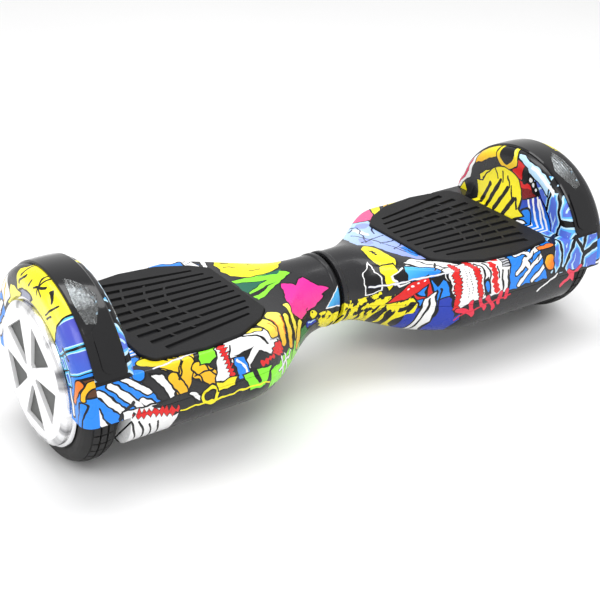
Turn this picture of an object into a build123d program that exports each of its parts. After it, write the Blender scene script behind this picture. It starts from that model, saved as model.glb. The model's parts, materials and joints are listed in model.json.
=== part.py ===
from build123d import *
import math
import os

# Self balancing hoverboard, in millimetres. X runs along the wheel axle, -Y is the front,
# +Z is up, and the origin is on the ground midway between the wheels. Everything that both
# halves share is modelled once, on the +X side, and mirrored to the -X side.

# Driving dimensions
TYRE_RADIUS = 82.5
HUB_FACE_X = 292.0
AXLE_Z = TYRE_RADIUS
PARTING_Z = 72.0
PARTING_GAP = 0.4
WALL = 2.5

# Body shells
NECK_RADIUS = 34.5
NECK_START_X = 2.5
EVEN_START_X = 142.0
FLARE_STEPS = 10
BODY_END_X = 246.0
BASE_Z = 33.0
DECK_Z = 107.5
HALF_BASE = 60.0
HALF_WAIST = 88.4
HALF_SHOULDER = 85.6
SHOULDER_Z = 104.5
SHOULDER_RISE = 2.4
SHOULDER_RUN = 3.6

# Fender over each wheel
FENDER_RADIUS = 90.3
FENDER_START_X = 244.0
FENDER_LIP_DROP = 11.0
DOME_FOOT_X = 216.0
DOME_FOOT_RADIUS = 16.0
FENDER_CREST_END_X = 274.5
FENDER_FACE_X = 286.0
FENDER_OPENING_RADIUS = 65.5
ARCH_RADIUS = 87.8
ARCH_START_X = 245.5
ARCH_END_X = 283.6
TRIM_START_X = 244.5
TRIM_END_X = 273.5
TRIM_CREST_RADIUS = 93.0
TRIM_SEAT_RADIUS = 90.4
TRIM_END_ANGLE = 18.0

# Light in the front of each fender
LENS_ANGLE = 60.0
LENS_CLEARANCE = 0.15

# Footpad
PAD_TOP_Z = 109.8
PAD_BOTTOM_Z = 105.7
PAD_GAP = 0.7
TRAY_FLOOR_Z = 103.7
TRAY_WALL = 2.4
GROOVE_COUNT = 10
GROOVE_DEPTH = 2.3
GROOVE_NARROW = 3.4
GROOVE_WIDE = 6.6
ARC_WIDTH = 2.4
PLUNGER_RADIUS = 4.0
PLUNGER_END_Z = 95.2
BOARD_TOP_Z = 93.2
BOARD_THICKNESS = 1.6

# Wheel and hub motor
TYRE_START_X = 248.2
TYRE_END_X = 281.4
TYRE_SEAT_RADIUS = 56.0
TREAD_DEPTH = 1.8
TREAD_SLOTS = 48
BEAD_RADIUS = 66.0
TREAD_CHANNEL = 1.6
TREAD_CHANNEL_DEPTH = 2.4
TREAD_CHANNEL_SHIFTS = (-9.6, -3.2, 3.2, 9.6)
CROWN_RISE = 0.3
CAN_RADIUS = 55.9
CAN_BORE_RADIUS = 50.0
AXLE_RADIUS = 8.0
AXLE_FIT = 0.05
BEARING_RADIUS = 16.0
BEARING_LENGTH = 8.0
AXLE_START_X = 200.0
AXLE_END_X = 286.0
STATOR_RADIUS = 46.0
STATOR_TEETH = 27
STATOR_START_X = 257.0
STATOR_END_X = 271.0
MAGNET_COUNT = 30
CAP_START_X = 286.4
CAP_END_X = 288.6
WINDOW_COUNT = 5
WINDOW_LOW_ANGLE = -39.0
WINDOW_HIGH_ANGLE = 5.5
WINDOW_REACH = 50.0
COVER_FACE_RADIUS = 52.0
COVER_RADIUS = 63.0

# Chassis and pivot
SHAFT_RADIUS = 14.0
SHAFT_BORE_RADIUS = 9.5
SHAFT_HALF_LENGTH = 66.0
BUSH_RADIUS = 17.0
BOSS_RADIUS = 22.0
BOSS_START_X = 16.0
BOSS_END_X = 62.0
SEAL_HALF_LENGTH = 14.0
SEAL_RADIUS = 29.0
PLATE_Z = 44.0
PLATE_THICKNESS = 4.0
CLAMP_START_X = 206.0
CLAMP_END_X = 238.0
CLAMP_HALF_WIDTH = 24.0
CLAMP_TOP_Z = 96.0
SCREW_RADIUS = 1.8
SCREW_HEAD_RADIUS = 3.2
SCREW_PLACES = [(100, 30), (160, 38), (222, 38)]

# Battery on the +X chassis and main board on the -X chassis
BATTERY_START_X = 92.0
BATTERY_END_X = 198.0
BATTERY_HALF_WIDTH = 35.0
BATTERY_HEIGHT = 36.0
BATTERY_LIFT = 2.0
STRAP_START_X = 138.0
STRAP_END_X = 156.0
STRAP_THICKNESS = 2.0
MAIN_BOARD_LIFT = 6.0
CAPACITOR_RADIUS = 6.5
CAPACITOR_HEIGHT = 20.0

# Charge socket and power button on the back of the +X half
SOCKET_X = 120.0
BUTTON_X = 150.0
PORT_TILT = 36.0
PORT_Y = 80.0
PORT_Z = 46.5
PORT_RADIUS = 8.0
SOCKET_RADIUS = 4.6
BUTTON_RADIUS = 5.0
PORT_SEAT_DEPTH = 1.2

AXLE = Axis((0, 0, AXLE_Z), (1, 0, 0))
HALF_PLANE = Plane(origin=(0, 0, AXLE_Z), x_dir=(1, 0, 0), z_dir=(0, -1, 0))


def across(x):
    """Plane square to the axle at x, with local axes along Y and Z from the axle line."""
    return Plane(origin=(x, 0, AXLE_Z), x_dir=(0, 1, 0), z_dir=(1, 0, 0))


def level(z):
    """Horizontal plane at height z."""
    return Plane.XY.offset(z)


def facing(angle):
    """Plane through the axle line whose normal points to the front, angle degrees up."""
    turn = math.radians(angle)
    normal = (0, -math.cos(turn), math.sin(turn))
    return Plane(origin=(0, 0, AXLE_Z), x_dir=(1, 0, 0), z_dir=normal)


def disc(x_start, x_end, radius):
    """Cylinder on the axle line."""
    return extrude(across(x_start) * Circle(radius), amount=x_end - x_start)


def ring(x_start, x_end, outer, inner):
    """Tube on the axle line."""
    return disc(x_start, x_end, outer) - disc(x_start - 1, x_end + 1, inner)


def block(x_start, x_end, y_start, y_end, z_start, z_end):
    """Box between two corners."""
    size = (x_end - x_start, y_end - y_start, z_end - z_start)
    middle = ((x_start + x_end) / 2, (y_start + y_end) / 2, (z_start + z_end) / 2)
    return Pos(*middle) * Box(*size)


def post(x, y, z_start, z_end, radius):
    """Upright cylinder."""
    return extrude(level(z_start) * Pos(x, y) * Circle(radius), amount=z_end - z_start)


def spun(outline):
    """Solid of revolution about the axle from an outline of (x, radius)."""
    return revolve(HALF_PLANE * make_face(outline), axis=AXLE)


def above(z):
    """Everything above height z."""
    return block(-400, 400, -200, 200, z, z + 400)


def below(z):
    """Everything below height z."""
    return block(-400, 400, -200, 200, z - 400, z)


def ease(x, x_start, x_end, value_start, value_end):
    """Smooth change from one value to another between two places along X."""
    t = min(1, max(0, (x - x_start) / (x_end - x_start)))
    return value_start + (value_end - value_start) * t * t * (3 - 2 * t)


# ---------------------------------------------------------------- body shells

def bulged(start, end, bulge):
    """Arc between two (y, z) points that stands out to the right by bulge times its chord."""
    middle_y = (start[0] + end[0]) / 2 + (end[1] - start[1]) * bulge
    middle_z = (start[1] + end[1]) / 2 - (end[0] - start[0]) * bulge
    return (middle_y, middle_z)


def on_neck(angle):
    """Point of the round neck, angle degrees above horizontal."""
    turn = math.radians(angle)
    return (NECK_RADIUS * math.cos(turn), AXLE_Z + NECK_RADIUS * math.sin(turn))


def neck_bulge(angle_start, angle_end):
    """Bulge of the neck circle between two of its points."""
    quarter = math.radians(abs(angle_end - angle_start)) / 4
    return math.tan(quarter) / 2


def body_section(x, inset):
    """Cross-section of the body at x: round at the neck, wide and flat under the rider's foot."""
    waist_angle = math.degrees(math.asin((PARTING_Z - AXLE_Z) / NECK_RADIUS))
    base_angle, shoulder_angle, deck_angle = -60, 40, 50

    base = (ease(x, 25, 135, on_neck(base_angle)[0], HALF_BASE) - inset * 0.7,
            ease(x, 5, 85, on_neck(base_angle)[1], BASE_Z + 0.3) + inset)
    base_drop = ease(x, 5, 85, on_neck(base_angle)[1] - (AXLE_Z - NECK_RADIUS), 0.3)
    waist = (ease(x, 12, 122, on_neck(waist_angle)[0], HALF_WAIST) - inset, PARTING_Z)
    shoulder = (ease(x, 20, 125, on_neck(shoulder_angle)[0], HALF_SHOULDER) - inset,
                ease(x, 20, 95, on_neck(shoulder_angle)[1], SHOULDER_Z) - inset * 0.7)
    deck_width = ease(x, 20, 125, on_neck(deck_angle)[0], HALF_SHOULDER - SHOULDER_RUN)
    deck_edge = (deck_width - inset * 0.8,
                 ease(x, 20, 95, on_neck(deck_angle)[1], SHOULDER_Z + SHOULDER_RISE) - inset)
    deck_top = ease(x, 22, 95, AXLE_Z + NECK_RADIUS, DECK_Z) - inset

    corner_bulge = ease(x, 10, 110, neck_bulge(base_angle, waist_angle), 0.19)
    side_bulge = ease(x, 10, 110, neck_bulge(waist_angle, shoulder_angle), 0.055)
    shoulder_bulge = ease(x, 20, 110, neck_bulge(shoulder_angle, deck_angle), 0.17)

    right = [base, waist, shoulder, deck_edge]
    bulges = [corner_bulge, side_bulge, shoulder_bulge]
    edges = []
    for start, end, bulge in zip(right, right[1:], bulges):
        middle = bulged(start, end, bulge)
        edges.append(ThreePointArc(start, middle, end))
    top = ThreePointArc(deck_edge, (0, deck_top), (-deck_edge[0], deck_edge[1]))
    bottom = ThreePointArc((-base[0], base[1]), (0, base[1] - base_drop), base)
    left = [edge.mirror(Plane.YZ) for edge in edges]
    face = make_face(edges + [top] + left + [bottom])
    return Plane(origin=(x, 0, 0), x_dir=(0, 1, 0), z_dir=(1, 0, 0)) * face


def body_form(x_start, x_end, inset):
    """Solid form of one half of the body: neck and flare in one loft, then an even section."""
    step = (EVEN_START_X - x_start) / FLARE_STEPS
    stations = [x_start + step * index for index in range(FLARE_STEPS + 1)]
    flare = loft([body_section(x, inset) for x in stations])
    even = extrude(body_section(EVEN_START_X, inset), amount=x_end - EVEN_START_X, dir=(1, 0, 0))
    return flare + even


def dome_outline(inset):
    """Points of the fender's inner wall, rising from the deck to the crest."""
    return [(DOME_FOOT_X + inset, DOME_FOOT_RADIUS), (224.5 + inset, 29), (231.5 + inset, 48 - inset / 2),
            (236.5 + inset, 68 - inset / 2)]


def fender_form():
    """Solid form of the fender: inner wall, crest and rounded outer lip."""
    wall = Spline(*dome_outline(0), (FENDER_START_X, FENDER_RADIUS), tangents=[(1, 0.8), (1, 0.2)])
    lip_start = (FENDER_CREST_END_X, FENDER_RADIUS)
    crest = Line((FENDER_START_X, FENDER_RADIUS), lip_start)
    lip_end = (FENDER_FACE_X, FENDER_RADIUS - FENDER_LIP_DROP)
    lip_middle = (FENDER_FACE_X - 3.4, FENDER_RADIUS - 3.2)
    lip = ThreePointArc(lip_start, lip_middle, lip_end)
    face = Polyline(lip_end, (FENDER_FACE_X, 0), (DOME_FOOT_X, 0), (DOME_FOOT_X, DOME_FOOT_RADIUS))
    return spun([wall, crest, lip, face])


def dome_hollow():
    """Hollow behind the fender's inner wall."""
    points = dome_outline(WALL + 0.4)
    end = (ARCH_START_X - WALL, ARCH_RADIUS - 9)
    wall = Spline(*points, end)
    rest = Polyline(end, (end[0], 0), (points[0][0], 0), points[0])
    return spun([wall, rest])


def wheel_arch():
    """Room for the wheel under the fender, with the round opening for the hub."""
    arch = disc(ARCH_START_X, ARCH_END_X, ARCH_RADIUS)
    arch = fillet(arch.edges().group_by(Axis.X)[-1], 5)
    return arch + disc(ARCH_END_X - 2, FENDER_FACE_X + 5, FENDER_OPENING_RADIUS)


def neck_rim():
    """Raised bead round the end of the neck."""
    start, top = NECK_START_X, NECK_RADIUS + 1.2
    end_turn = ThreePointArc((start, top - 1), (start + 0.3, top - 0.3), (start + 1, top))
    crest = Line((start + 1, top), (start + 3.5, top))
    back_turn = ThreePointArc((start + 3.5, top), (start + 4.8, top - 0.5), (start + 5.7, top - 1.7))
    inside = Polyline((start + 5.7, top - 1.7), (start + 6.3, top - 3), (start + 6.3, 0), (start, 0),
                      (start, top - 1))
    return spun([end_turn, crest, back_turn, inside])


def outer_form():
    return body_form(NECK_START_X, BODY_END_X, 0) + neck_rim()


def inner_form():
    return body_form(NECK_START_X - 0.5, ARCH_START_X - WALL, WALL)


def pad_outline(grow):
    """Footpad's outline, grown by an even margin."""
    outline = Polyline((92, 0), (92, -47), (106, -62), (134, -76.5), (170, -81),
                       (216, -75), (222, -62), (222, 0))
    half = make_face([outline, Line((222, 0), (92, 0))])
    whole = half + mirror(half, Plane.XZ)
    corners = [v for v in whole.vertices() if abs(v.Y) > 1]
    whole = fillet(corners, 8)
    return offset(whole, grow) if grow else whole


def pad_prism(grow, z_start, z_end):
    return extrude(level(z_start) * pad_outline(grow), amount=z_end - z_start)


def plunger_places():
    return [(x, y) for x in (136, 190) for y in (-22, 22)]


def lens_outline(grow):
    """Lens outline on the fender, from (x, degrees above the front)."""
    corners = [(266, 77), (257, 71), (249, 61), (253, 53), (259, 46), (267.5, 47.5), (270, 61)]
    points = []
    for x, angle in corners:
        rise = TRIM_CREST_RADIUS * math.sin(math.radians(angle - LENS_ANGLE))
        points.append((x, rise))
    face = make_face(Polyline(*points, close=True))
    face = fillet(face.vertices(), 1.2)
    return offset(face, grow) if grow else face


def lens_prism(grow):
    """Outline of the lens carried square through the fender."""
    return extrude(facing(LENS_ANGLE).offset(70) * lens_outline(grow), amount=40)


def upper_shell(outer, inner):
    shell = outer + fender_form()
    shell = shell - inner - dome_hollow() - wheel_arch()
    floor = TRAY_FLOOR_Z - TRAY_WALL
    tray = pad_prism(PAD_GAP + TRAY_WALL, floor, DECK_Z + 4) & (outer + fender_form())
    shell = shell + (tray - wheel_arch())
    shell = shell - pad_prism(PAD_GAP, TRAY_FLOOR_Z, DECK_Z + 20)
    for x, y in plunger_places():
        shell = shell - post(x, y, floor - 1, TRAY_FLOOR_Z + 1, PLUNGER_RADIUS + 0.8)
    shell = shell - lens_prism(-1.0)
    axle_slot = block(ARCH_START_X - 10, ARCH_START_X + 5, -11, 11, PARTING_Z - 5, AXLE_Z)
    shell = shell - axle_slot - disc(ARCH_START_X - 10, ARCH_START_X + 5, 11)
    standoffs = [(x, y) for x in (149, 177) for y in (-26, 26)]
    for x, y in standoffs:
        shell = shell + post(x, y, BOARD_TOP_Z, floor + 0.5, 3)
    return shell & above(PARTING_Z + PARTING_GAP / 2)


def lower_shell(outer, inner):
    shell = (outer - inner) & below(PARTING_Z - PARTING_GAP / 2)
    for x, y in both_sides(SCREW_PLACES):
        shell = shell + post(x, y, BASE_Z + 1, PLATE_Z - 0.05, 6)
    for x, y in both_sides(SCREW_PLACES):
        shell = shell - post(x, y, BASE_Z - 1, BASE_Z + 3, SCREW_HEAD_RADIUS + 0.5)
        shell = shell - post(x, y, BASE_Z - 1, PLATE_Z + 1, SCREW_RADIUS + 0.05)
    return shell


def both_sides(places):
    return [(x, side * y) for x, y in places for side in (-1, 1)]


# ---------------------------------------------------------------- fender trim and light

def pie(angle):
    """Everything above two planes that rise from the axle to front and back at an angle."""
    turn = math.radians(angle)
    reach = 200
    edge = (reach * math.cos(turn), reach * math.sin(turn))
    outline = Polyline((0, 0), edge, (reach, reach), (-reach, reach), (-edge[0], edge[1]), close=True)
    return extrude(across(200) * make_face(outline), amount=150)


def trim_form():
    """Glossy band over the crest of the fender."""
    side = TRIM_CREST_RADIUS - 1.5
    shoulder = TRIM_CREST_RADIUS - 0.5
    inset = 1.3
    left = Line((TRIM_START_X, TRIM_SEAT_RADIUS), (TRIM_START_X, side))
    left_turn = Line((TRIM_START_X, side), (TRIM_START_X + inset, shoulder))
    middle = (TRIM_START_X + TRIM_END_X) / 2
    top = ThreePointArc((TRIM_START_X + inset, shoulder), (middle, TRIM_CREST_RADIUS),
                        (TRIM_END_X - inset, shoulder))
    right_turn = Line((TRIM_END_X - inset, shoulder), (TRIM_END_X, side))
    right = Line((TRIM_END_X, side), (TRIM_END_X, TRIM_SEAT_RADIUS))
    seat = Line((TRIM_END_X, TRIM_SEAT_RADIUS), (TRIM_START_X, TRIM_SEAT_RADIUS))
    band = spun([left, left_turn, top, right_turn, right, seat]) & pie(TRIM_END_ANGLE)
    return band


def fender_trim():
    band = trim_form()
    front_end = [edge for edge in band.edges() if is_trim_corner(edge)]
    band = fillet(front_end, 5)
    panel_face = facing(33).offset(85) * Pos(256.5, 0) * RectangleRounded(19, 40, 7)
    panel = extrude(panel_face, amount=15) & ring(240, 275, TRIM_CREST_RADIUS + 0.8, TRIM_SEAT_RADIUS + 1)
    return band + panel - lens_prism(LENS_CLEARANCE)


def is_trim_corner(edge):
    """True for the short upright edges at the two ends of the band."""
    upright = abs(edge.tangent_at(0.5).X) < 0.01
    return upright and edge.length < 3


def light_lens():
    return trim_form() & lens_prism(0)


def light_board():
    """Lamp board behind the lens with its row of lamps."""
    shell = ring(244, 276, ARCH_RADIUS - 0.1, ARCH_RADIUS - 1.3)
    board = shell & lens_prism(2)
    lamps = []
    for angle in (51, 57, 63, 69):
        lamp = facing(angle).offset(ARCH_RADIUS - 0.8) * Pos(262, 0) * Rectangle(4, 4)
        lamps.append(extrude(lamp, amount=1.6))
    return board + lamps


# ---------------------------------------------------------------- footpad and its sensors

def footpad():
    """Rubber pad with a raised border, ribs that fan out towards the wheel and thin cross arcs."""
    pad = pad_prism(0, PAD_BOTTOM_Z, PAD_TOP_Z)
    rim = pad.faces().sort_by(Axis.Z)[-1].edges()
    pad = fillet(rim, 1.2)
    grooves = []
    for index in range(GROOVE_COUNT):
        spread = 2 * index / (GROOVE_COUNT - 1) - 1
        inner_y = 50 * spread
        outer_y = 65 * spread
        inner_x = 98 + 12 * abs(spread) ** 3
        outer_x = 215 - 16 * spread * spread
        grooves.append(groove_face(inner_x, inner_y, outer_x, outer_y))
    cutters = [extrude(level(PAD_TOP_Z - GROOVE_DEPTH) * face, amount=4) for face in grooves]
    arcs = cross_arcs(PAD_TOP_Z - GROOVE_DEPTH - 0.5, PAD_TOP_Z)
    slots = Part() + cutters - arcs
    return pad - slots


def groove_face(inner_x, inner_y, outer_x, outer_y):
    """Long groove that is narrow by the neck and wider by the wheel."""
    narrow, wide = GROOVE_NARROW / 2, GROOVE_WIDE / 2
    corners = [(inner_x, inner_y - narrow), (outer_x, outer_y - wide),
               (outer_x, outer_y + wide), (inner_x, inner_y + narrow)]
    face = make_face(Polyline(*corners, close=True))
    return fillet(face.vertices(), 1.0)


def cross_arcs(z_start, z_end):
    """Three thin arcs that bulge towards the wheel and bridge the grooves."""
    arcs = []
    for apex, end_x, half in ((192, 178, 56), (173, 160, 46), (156, 146, 34)):
        line = ThreePointArc((end_x, -half), (apex, 0), (end_x, half))
        outer = ThreePointArc((end_x + ARC_WIDTH, -half), (apex + ARC_WIDTH, 0), (end_x + ARC_WIDTH, half))
        ends = [Line((end_x, side * half), (end_x + ARC_WIDTH, side * half)) for side in (-1, 1)]
        face = make_face([line, outer] + ends)
        arcs.append(extrude(level(z_start) * face, amount=z_end - z_start))
    return Part() + arcs


def pad_plungers():
    posts = [post(x, y, PLUNGER_END_Z, PAD_BOTTOM_Z, PLUNGER_RADIUS) for x, y in plunger_places()]
    return Part() + posts


def gyro_board():
    """Sensor board under the pad with its chips and the two pressure switches."""
    bottom = BOARD_TOP_Z - BOARD_THICKNESS
    board = block(128, 198, -30, 30, bottom, BOARD_TOP_Z)
    chip = block(158, 168, -5, 5, BOARD_TOP_Z, BOARD_TOP_Z + 1.2)
    plug = block(128, 134, -9, 9, bottom - 5, bottom)
    return board + chip + plug


# ---------------------------------------------------------------- wheel and hub motor

def tyre():
    """Low tyre with ribs round it, cut across into blocks. The blocks of the middle rib have flat lands."""
    shoulder = 79.0
    wall_mid = 70.0
    mid_x = (TYRE_START_X + TYRE_END_X) / 2
    left_x, right_x = TYRE_START_X + 4, TYRE_END_X - 4
    left_wall = ThreePointArc((TYRE_START_X + 3, TYRE_SEAT_RADIUS), (TYRE_START_X, wall_mid),
                              (left_x, shoulder))
    crown = ThreePointArc((left_x, shoulder), (mid_x, TYRE_RADIUS + CROWN_RISE), (right_x, shoulder))
    right_wall = ThreePointArc((right_x, shoulder), (TYRE_END_X, wall_mid), (TYRE_END_X - 1, BEAD_RADIUS))
    seat_step = Polyline((TYRE_END_X - 1, BEAD_RADIUS), (TYRE_END_X - 4, BEAD_RADIUS - 5),
                         (TYRE_END_X - 4, TYRE_SEAT_RADIUS), (TYRE_START_X + 3, TYRE_SEAT_RADIUS))
    body = spun([left_wall, crown, right_wall, seat_step])
    channels = []
    for shift in TREAD_CHANNEL_SHIFTS:
        start = mid_x + shift - TREAD_CHANNEL / 2
        channels.append(ring(start, start + TREAD_CHANNEL, 90, TYRE_RADIUS - TREAD_CHANNEL_DEPTH))
    slots = []
    lands = []
    for index in range(TREAD_SLOTS):
        slot_turn = Rot(360 / TREAD_SLOTS * (index + 0.5), 0, 0)
        slot = block(TYRE_START_X - 1, TYRE_END_X + 1, -0.8, 0.8, TYRE_RADIUS - TREAD_DEPTH, 95)
        slots.append(Pos(0, 0, AXLE_Z) * slot_turn * slot)
        land_turn = Rot(360 / TREAD_SLOTS * index, 0, 0)
        above = block(mid_x + TREAD_CHANNEL_SHIFTS[1], mid_x + TREAD_CHANNEL_SHIFTS[2], -6, 6, TYRE_RADIUS, 95)
        lands.append(Pos(0, 0, AXLE_Z) * land_turn * above)
    return body - channels - slots - lands


def rotor_can():
    """Cast motor housing that carries the tyre and turns round the axle."""
    start, end = TYRE_START_X + 1.2, TYRE_END_X - 4
    barrel = ring(start, end, CAN_RADIUS, CAN_BORE_RADIUS)
    bead = ring(end, TYRE_END_X - 0.2, BEAD_RADIUS - 6, CAN_BORE_RADIUS)
    front = ring(end - 1, CAP_START_X, CAN_BORE_RADIUS + 2, BEARING_RADIUS)
    cap = disc(CAP_START_X, CAP_END_X, COVER_FACE_RADIUS)
    return barrel + bead + front + cap


def rim_ring():
    """Bright outer ring that holds the tyre's bead."""
    outline = Polyline((TYRE_END_X - 0.1, BEAD_RADIUS - 6), (TYRE_END_X - 0.1, BEAD_RADIUS - 1),
                       (TYRE_END_X + 0.7, BEAD_RADIUS), (TYRE_END_X + 2.2, BEAD_RADIUS - 0.6),
                       (TYRE_END_X + 3.0, BEAD_RADIUS - 3), (TYRE_END_X + 3.0, CAN_BORE_RADIUS + 2.1),
                       (TYRE_END_X + 0.0, CAN_BORE_RADIUS + 2.1), (TYRE_END_X + 0.0, BEAD_RADIUS - 6),
                       close=True)
    return spun([outline])


def window_face():
    """One blade-shaped window of the hub cover."""
    low, high = WINDOW_LOW_ANGLE, WINDOW_HIGH_ANGLE
    corners = []
    for radius, angle in ((10.5, high), (WINDOW_REACH, high), (WINDOW_REACH - 2, low), (9.5, low + 24)):
        turn = math.radians(angle)
        corners.append((-radius * math.cos(turn), radius * math.sin(turn)))
    face = make_face(Polyline(*corners, close=True))
    return fillet(face.vertices(), 1.0)


def hub_cover():
    """White wheel cover: flat face, rounded shoulder and blade-shaped windows."""
    base_x = TYRE_END_X + 3.05
    back = CAP_END_X + 0.1
    outline = [
        Line((base_x, COVER_FACE_RADIUS + 0.2), (base_x, COVER_RADIUS - 0.4)),
        Line((base_x, COVER_RADIUS - 0.4), (base_x + 1.2, COVER_RADIUS)),
        Line((base_x + 1.2, COVER_RADIUS), (288.5, COVER_RADIUS - 0.4)),
        ThreePointArc((288.5, COVER_RADIUS - 0.4), (290.6, 60), (291.2, 56)),
        Line((291.2, 56), (HUB_FACE_X, COVER_FACE_RADIUS)),
        Polyline((HUB_FACE_X, COVER_FACE_RADIUS), (HUB_FACE_X, 0), (back, 0),
                 (back, COVER_FACE_RADIUS + 0.2), (base_x, COVER_FACE_RADIUS + 0.2)),
    ]
    cover = spun(outline)
    window = extrude(across(back - 1) * window_face(), amount=8)
    for index in range(WINDOW_COUNT):
        cover = cover - window.rotate(AXLE, -360 / WINDOW_COUNT * index)
    return cover


def inner_cover():
    """Plate that closes the motor on the body side and holds the inner bearing."""
    start = TYRE_START_X - 0.4
    plate = ring(start, TYRE_START_X + 1.1, CAN_RADIUS - 1, BEARING_RADIUS)
    hub = ring(start, start + BEARING_LENGTH, BEARING_RADIUS + 4, BEARING_RADIUS)
    bolts = []
    for index in range(8):
        head = extrude(across(start - 0.8) * Pos(46, 0) * Circle(3), amount=1.0)
        bolts.append(head.rotate(AXLE, 45 * index))
    return plate + hub + bolts


def wheel_bearings():
    inner_start = TYRE_START_X - 0.4
    outer_start = TYRE_END_X - 4.5
    bore = AXLE_RADIUS + AXLE_FIT
    parts = [ring(x, x + BEARING_LENGTH, BEARING_RADIUS - 0.02, bore) for x in (inner_start, outer_start)]
    return Part() + parts


def magnet_ring():
    """Magnets on the inside of the motor housing."""
    base = ring(253, 275, CAN_BORE_RADIUS - 0.05, 49.0)
    magnet = block(253.5, 274.5, -4.2, 4.2, 47.2, 49.2)
    magnets = []
    for index in range(MAGNET_COUNT):
        magnets.append(Pos(0, 0, AXLE_Z) * Rot(360 / MAGNET_COUNT * index, 0, 0) * magnet)
    return base + magnets


def stator():
    """Wound core fixed on the axle."""
    core = ring(STATOR_START_X, STATOR_END_X, 30, AXLE_RADIUS + 0.02)
    tooth = block(STATOR_START_X, STATOR_END_X, -2, 2, 28, 43)
    tip = block(STATOR_START_X, STATOR_END_X, -4, 4, 42.5, STATOR_RADIUS - 0.4)
    coil = block(STATOR_START_X - 2, STATOR_END_X + 2, -2.9, 2.9, 31, 42)
    pieces = []
    for index in range(STATOR_TEETH):
        turn = Pos(0, 0, AXLE_Z) * Rot(360 / STATOR_TEETH * index, 0, 0)
        pieces += [turn * tooth, turn * tip, turn * coil]
    return core + pieces


def motor_axle():
    """Fixed axle with a flat on each side where the chassis clamps it."""
    axle = disc(AXLE_START_X, AXLE_END_X, AXLE_RADIUS)
    axle = chamfer(axle.edges().group_by(Axis.X)[0], 1)
    bore = disc(AXLE_START_X - 1, 252, 3)
    return axle - bore


# ---------------------------------------------------------------- chassis and pivot

def chassis():
    """Cast chassis of one half: pivot boss, bottom plate, side rails and axle block."""
    boss = ring(BOSS_START_X, BOSS_END_X, BOSS_RADIUS, BUSH_RADIUS + 0.02)
    web = block(50, 78, -14, 14, PLATE_Z, AXLE_Z - BUSH_RADIUS + 2) - disc(40, 90, BUSH_RADIUS + 0.02)
    top = PLATE_Z + PLATE_THICKNESS
    outline = Polyline((58, -14), (92, -38), (100, -45), (CLAMP_END_X, -45), (CLAMP_END_X, 45),
                       (100, 45), (92, 38), (58, 14), close=True)
    plate = extrude(level(PLATE_Z) * make_face(outline), amount=PLATE_THICKNESS)
    rails = [block(104, CLAMP_START_X, side * 43.5 - 1.5, side * 43.5 + 1.5, top, top + 12)
             for side in (-1, 1)]
    holder = block(CLAMP_START_X, CLAMP_END_X, -CLAMP_HALF_WIDTH, CLAMP_HALF_WIDTH, top - 1, AXLE_Z - 0.1)
    frame = boss + web + plate + rails + holder - disc(190, 250, AXLE_RADIUS + 0.02)
    for x, y in both_sides(SCREW_PLACES):
        frame = frame - post(x, y, PLATE_Z - 1, top + 1, SCREW_RADIUS + 0.05)
    for x, y in bolt_places():
        frame = frame - post(x, y, AXLE_Z - 20, AXLE_Z + 20, 2.55)
    return frame


def bolt_places():
    return [(x, y) for x in (CLAMP_START_X + 8, CLAMP_END_X - 8) for y in (-16, 16)]


def axle_clamp():
    """Cap that clamps the axle down on the chassis."""
    cap = block(CLAMP_START_X, CLAMP_END_X, -CLAMP_HALF_WIDTH, CLAMP_HALF_WIDTH, AXLE_Z + 0.1, CLAMP_TOP_Z)
    cap = chamfer(cap.edges().filter_by(Axis.X).group_by(Axis.Z)[-1], 4)
    cap = cap - disc(190, 250, AXLE_RADIUS + 0.02)
    for x, y in bolt_places():
        cap = cap - post(x, y, AXLE_Z - 1, CLAMP_TOP_Z + 1, 2.55)
    return cap


def clamp_bolts():
    bolts = []
    for x, y in bolt_places():
        shank = post(x, y, AXLE_Z - 18, CLAMP_TOP_Z + 0.1, 2.5)
        head = post(x, y, CLAMP_TOP_Z + 0.02, CLAMP_TOP_Z + 4, 4.2) - hexagon(x, y, CLAMP_TOP_Z + 1.5)
        bolts.append(shank + head)
    return Part() + bolts


def hexagon(x, y, z):
    return extrude(level(z) * Pos(x, y) * RegularPolygon(2.2, 6), amount=5)


def shell_screws():
    """Screws from below that hold the lower shell on the chassis."""
    screws = []
    for x, y in both_sides(SCREW_PLACES):
        head = post(x, y, BASE_Z + 0.7, BASE_Z + 2.95, SCREW_HEAD_RADIUS)
        cross = block(x - 2, x + 2, y - 0.4, y + 0.4, BASE_Z, BASE_Z + 1.7)
        cross = cross + block(x - 0.4, x + 0.4, y - 2, y + 2, BASE_Z, BASE_Z + 1.7)
        shank = post(x, y, BASE_Z + 2, PLATE_Z + PLATE_THICKNESS + 1.5, SCREW_RADIUS)
        screws.append(head + shank - cross)
    return Part() + screws


def pivot_shaft():
    """Hollow steel shaft that joins the halves and lets them twist."""
    shaft = ring(-SHAFT_HALF_LENGTH, SHAFT_HALF_LENGTH, SHAFT_RADIUS, SHAFT_BORE_RADIUS)
    groove = ring(-SHAFT_HALF_LENGTH + 2, -SHAFT_HALF_LENGTH + 3.5, SHAFT_RADIUS + 1, SHAFT_RADIUS - 1)
    return shaft - groove


def pivot_bushes():
    """Two bushes in the -X chassis that the shaft turns in."""
    bore = SHAFT_RADIUS + AXLE_FIT
    outer = ring(-BOSS_START_X - 16, -BOSS_START_X, BUSH_RADIUS, bore)
    inner = ring(-BOSS_END_X, -BOSS_END_X + 16, BUSH_RADIUS, bore)
    return Part() + [outer, inner]


def shaft_sleeve():
    """Sleeve that fixes the shaft in the +X chassis."""
    return ring(BOSS_START_X, BOSS_END_X, BUSH_RADIUS, SHAFT_RADIUS + 0.01)


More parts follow.
